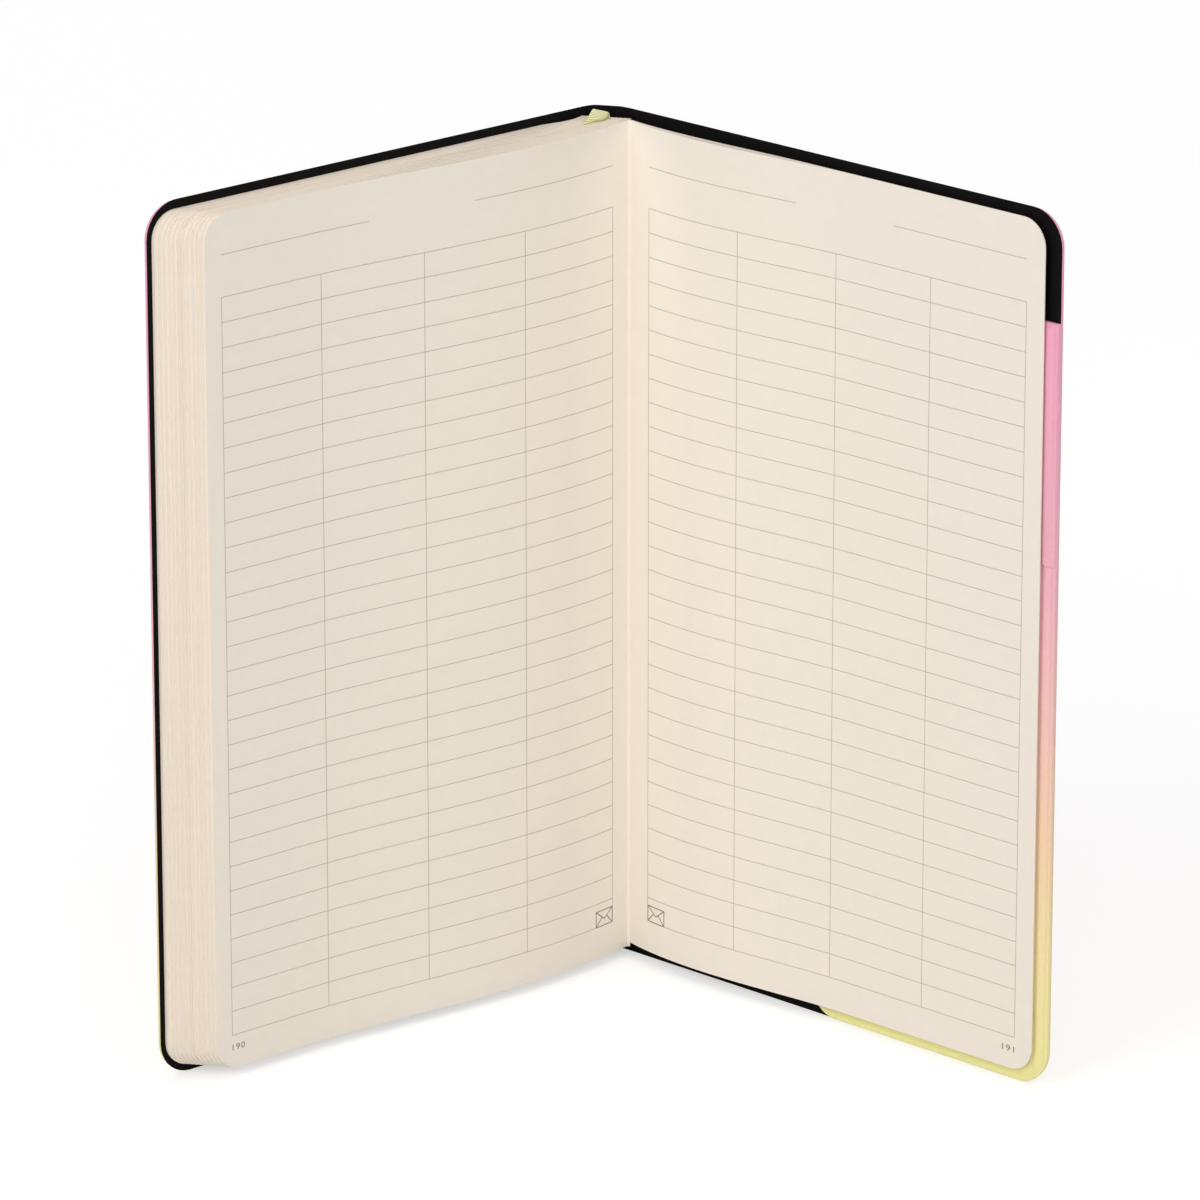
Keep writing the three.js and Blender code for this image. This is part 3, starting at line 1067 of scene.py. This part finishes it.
class NOTEBOOK_OT_print(bpy.types.Operator):
    """Prints the ruled table, the page numbers and an envelope on the two open pages"""

    bl_idname = "notebook.print"
    bl_label = "Print"

    def execute(self, context):
        book = context.scene.notebook
        ruling = printing_ink("ink_grey", book.ink)
        dark = printing_ink("ink_dark", book.dark_ink)
        width, head = book.mm("line_width"), 188.3
        for page, number, foot, heading in (
            (Page("left", book), "190", 10.1, (50.4, 80.0)),
            (Page("right", book), "191", 10.9, (52.4, 81.4)),
        ):
            first, last = page.columns[0], page.columns[-1]
            pitch = (head - foot) / (book.rows - 1)
            row = page.printed("rows", [((first, foot), (last, foot))], width, ruling)
            repeated(row, book.rows, (0, 0, pitch), ruling)
            step = page.columns[1] - first
            column = page.printed("columns", [((first, foot), (first, head))], width, ruling)
            repeated(column, len(page.columns), (0, -step, 0), ruling)
            top = head + 10
            halves = [((first, top), (heading[0], top)), ((heading[1], top), (last, top))]
            header = page.printed("header", halves, width, ruling)
            e, w, h = first + 0.1, ENVELOPE_WIDTH, 3.9
            corners = [(e, foot), (e + w, foot), (e + w, foot + h), (e, foot + h)]
            tip = (e + w / 2, foot + h * 0.42)
            lines = [*zip(corners, corners[1:] + corners[:1])]
            lines += [(corners[2], tip), (corners[3], tip)]
            lines += [(corners[0], (e + w * 0.34, foot + h * 0.55))]
            lines += [(corners[1], (e + w * 0.66, foot + h * 0.55))]
            envelope = page.printed("envelope", lines, 0.24, dark)
            figure = self.number(page, number, last, foot - 3.8, dark)
            for piece in (row, column, header, envelope, figure):
                bound(piece, page.fold, "page_paper")
        return {"FINISHED"}

    def number(self, page, digits, last, base, ink):
        """Sets a page number below the table, flush with its outer rule"""
        curve = bpy.data.curves.new("digits", "FONT")
        curve.body = digits
        curve.space_character = 1.15
        curve.extrude = 0.01
        text = bpy.data.objects.new("digits", curve)
        bpy.context.scene.collection.objects.link(text)
        bpy.context.view_layer.update()
        graph = bpy.context.evaluated_depsgraph_get()
        mesh = bpy.data.meshes.new_from_object(text.evaluated_get(graph))
        bpy.data.objects.remove(text)
        bpy.data.curves.remove(curve)
        xs = [vertex.co.x for vertex in mesh.vertices]
        ys = [vertex.co.y for vertex in mesh.vertices]
        left, right, low, high = min(xs), max(xs), min(ys), max(ys)
        wide, tall = NUMBER_WIDTH, 1.5
        layer = mesh.uv_layers.new(name="sheet")
        for vertex in mesh.vertices:
            x = (vertex.co.x - left) / (right - left) * wide
            z = base + (vertex.co.y - low) / (high - low) * tall
            lift = 0.015 if vertex.co.z > 0 else -0.02
            d = last - x if page.name == "left" else last - wide + x
            vertex.co = (page.across(lift) / 1000, (page.fold.out - d) / 1000, z / 1000)
        for loop in mesh.loops:
            place = mesh.vertices[loop.vertex_index].co
            layer.data[loop.index].uv = (-place.y, place.z)
        shape = bmesh.new()
        shape.from_mesh(mesh)
        bmesh.ops.remove_doubles(shape, verts=shape.verts, dist=1e-7)
        bmesh.ops.recalc_face_normals(shape, faces=shape.faces)
        shape.to_mesh(mesh)
        shape.free()
        return new_piece(f"number_{page.name}", mesh, ink)


def curve_through(points, steps):
    """A smooth curve through the points, with steps pieces between each two of them"""
    points = [Vector(point) for point in points]
    points = [2 * points[0] - points[1], *points, 2 * points[-1] - points[-2]]
    result = []
    for a, b, c, d in zip(points, points[1:], points[2:], points[3:]):
        for i in range(steps):
            t = i / steps
            square, cube = 2 * a - 5 * b + 4 * c - d, 3 * b - a - 3 * c + d
            result.append(0.5 * (2 * b + (c - a) * t + square * t**2 + cube * t**3))
    result.append(points[-2])
    return result


class NOTEBOOK_OT_ribbon(bpy.types.Operator):
    """Makes the bookmark ribbon: glued in the spine, over the head and in between the leaves"""

    bl_idname = "notebook.ribbon"
    bl_label = "Ribbon"

    def execute(self, context):
        book = context.scene.notebook
        band = woven_ribbon()
        width, near = book.mm("ribbon_width"), 4.9
        fold = leaf_fold(RIBBON_SIGNATURE)
        head = book.mm("height") - book.mm("page_foot")
        far_in = (*fold.opened(fold.across, fold.out - near - width), head)
        near_in = (*fold.opened(fold.across, fold.out - near), head)
        left = [(-2.9, -3.0, 194), (-2.9, -3.0, 203), (-2.9, -3.05, 208.8), (-2.95, -3.6, 209.9)]
        left += [(-3.0, -4.8, 210.0), (-3.1, -6.9, 209.6), (-3.2, -9.2, 209.0)]
        left += [(far_in[0], far_in[1] + 0.3, 208.3), (*far_in[:2], 207.0), (*far_in[:2], 203)]
        right = [(1.2, -3.0, 194), (1.1, -3.0, 203), (0.9, -3.05, 208.4), (0.95, -3.5, 209.4)]
        right += [(1.0, -4.5, 209.2), (0.6, -5.9, 208.8), (-0.1, -6.9, 208.5)]
        right += [(near_in[0] + 0.3, near_in[1] + 0.2, 208.2)]
        right += [(*near_in[:2], 207.0), (*near_in[:2], 203)]
        edges = [curve_through(left, 5), curve_through(right, 5)]
        builder = Builder()
        columns, thickness = 10, 0.16
        rows, distance = [], 0.0
        middles = [(a + b) / 2 for a, b in zip(*edges)]
        for i, (a, b) in enumerate(zip(*edges)):
            if i:
                distance += (middles[i] - middles[i - 1]).length
            along = (middles[min(i + 1, len(middles) - 1)] - middles[max(i - 1, 0)]).normalized()
            normal = along.cross(b - a).normalized()
            arch = math.sin(math.pi * min(max((i - 8) / 28, 0.0), 1.0))
            face, back = [], []
            for k in range(columns + 1):
                share = k / columns
                roll = max(share - 0.78, 0.0) / 0.22
                sag = -0.42 * roll * roll * arch
                point = a.lerp(b, share) + Vector((-0.25 * roll**3 * arch, 0, sag))
                for side, lift in ((face, thickness / 2), (back, -thickness / 2)):
                    side.append(builder.vertex(*(point + normal * lift), share * width, distance))
            rows.append(face + back[::-1])
        builder.loft(rows)
        piece = builder.piece("ribbon_over_head", band, 60)
        laid(piece)
        bending(piece, fold, "ribbon", "ribbon_head")

        builder = Builder()
        places = [near + width * i / 4 for i in range(5)]
        path = leaf_path(fold.across, fold.out, 0.11, places)
        path = [(inner, outer, d - near) for inner, outer, d in path]
        add_sheet(builder, path, 20, 205, 0.0)
        bound(builder.piece("ribbon_between_leaves", band), fold, "ribbon", "ribbon_tail")
        return {"FINISHED"}


class NOTEBOOK_OT_binding(bpy.types.Operator):
    """Gives the glue, the mull and the sewing threads of the block's spine their finishes"""

    bl_idname = "notebook.binding"
    bl_label = "Binding"

    def execute(self, context):
        glue, cloth, thread = dried_glue(), mull(), linen_thread()
        for name, material in (
            ("spine_glue", glue),
            ("spine_gauze", cloth),
            *((f"sewing_thread_{i}", thread) for i in range(1, 6)),
        ):
            for slot in bpy.data.objects[name].material_slots:
                slot.material = material
        return {"FINISHED"}


# The sizes, and then the operators in the order that they run in
CLASSES = [
    NotebookSizes,
    NOTEBOOK_OT_stage,
    NOTEBOOK_OT_case,
    NOTEBOOK_OT_lining,
    NOTEBOOK_OT_pocket,
    NOTEBOOK_OT_leaves,
    NOTEBOOK_OT_print,
    NOTEBOOK_OT_ribbon,
    NOTEBOOK_OT_binding,
]


class NOTEBOOK_PT_sidebar(bpy.types.Panel):
    """Lists the notebook's pieces in the sidebar"""

    bl_label = "Notebook"
    bl_idname = "NOTEBOOK_PT_sidebar"
    bl_space_type = "VIEW_3D"
    bl_region_type = "UI"
    bl_category = "Notebook"

    def draw(self, context):
        for kind in CLASSES[1:]:
            self.layout.operator(kind.bl_idname)


def register():
    for kind in (*CLASSES, NOTEBOOK_PT_sidebar):
        bpy.utils.register_class(kind)
    bpy.types.Scene.notebook = PointerProperty(type=NotebookSizes)


def unregister():
    del bpy.types.Scene.notebook
    for kind in reversed((*CLASSES, NOTEBOOK_PT_sidebar)):
        bpy.utils.unregister_class(kind)


def main():
    register()
    for kind in CLASSES[1:]:
        getattr(bpy.ops.notebook, kind.bl_idname.split(".")[1])()


if __name__ == "__main__":
    main()
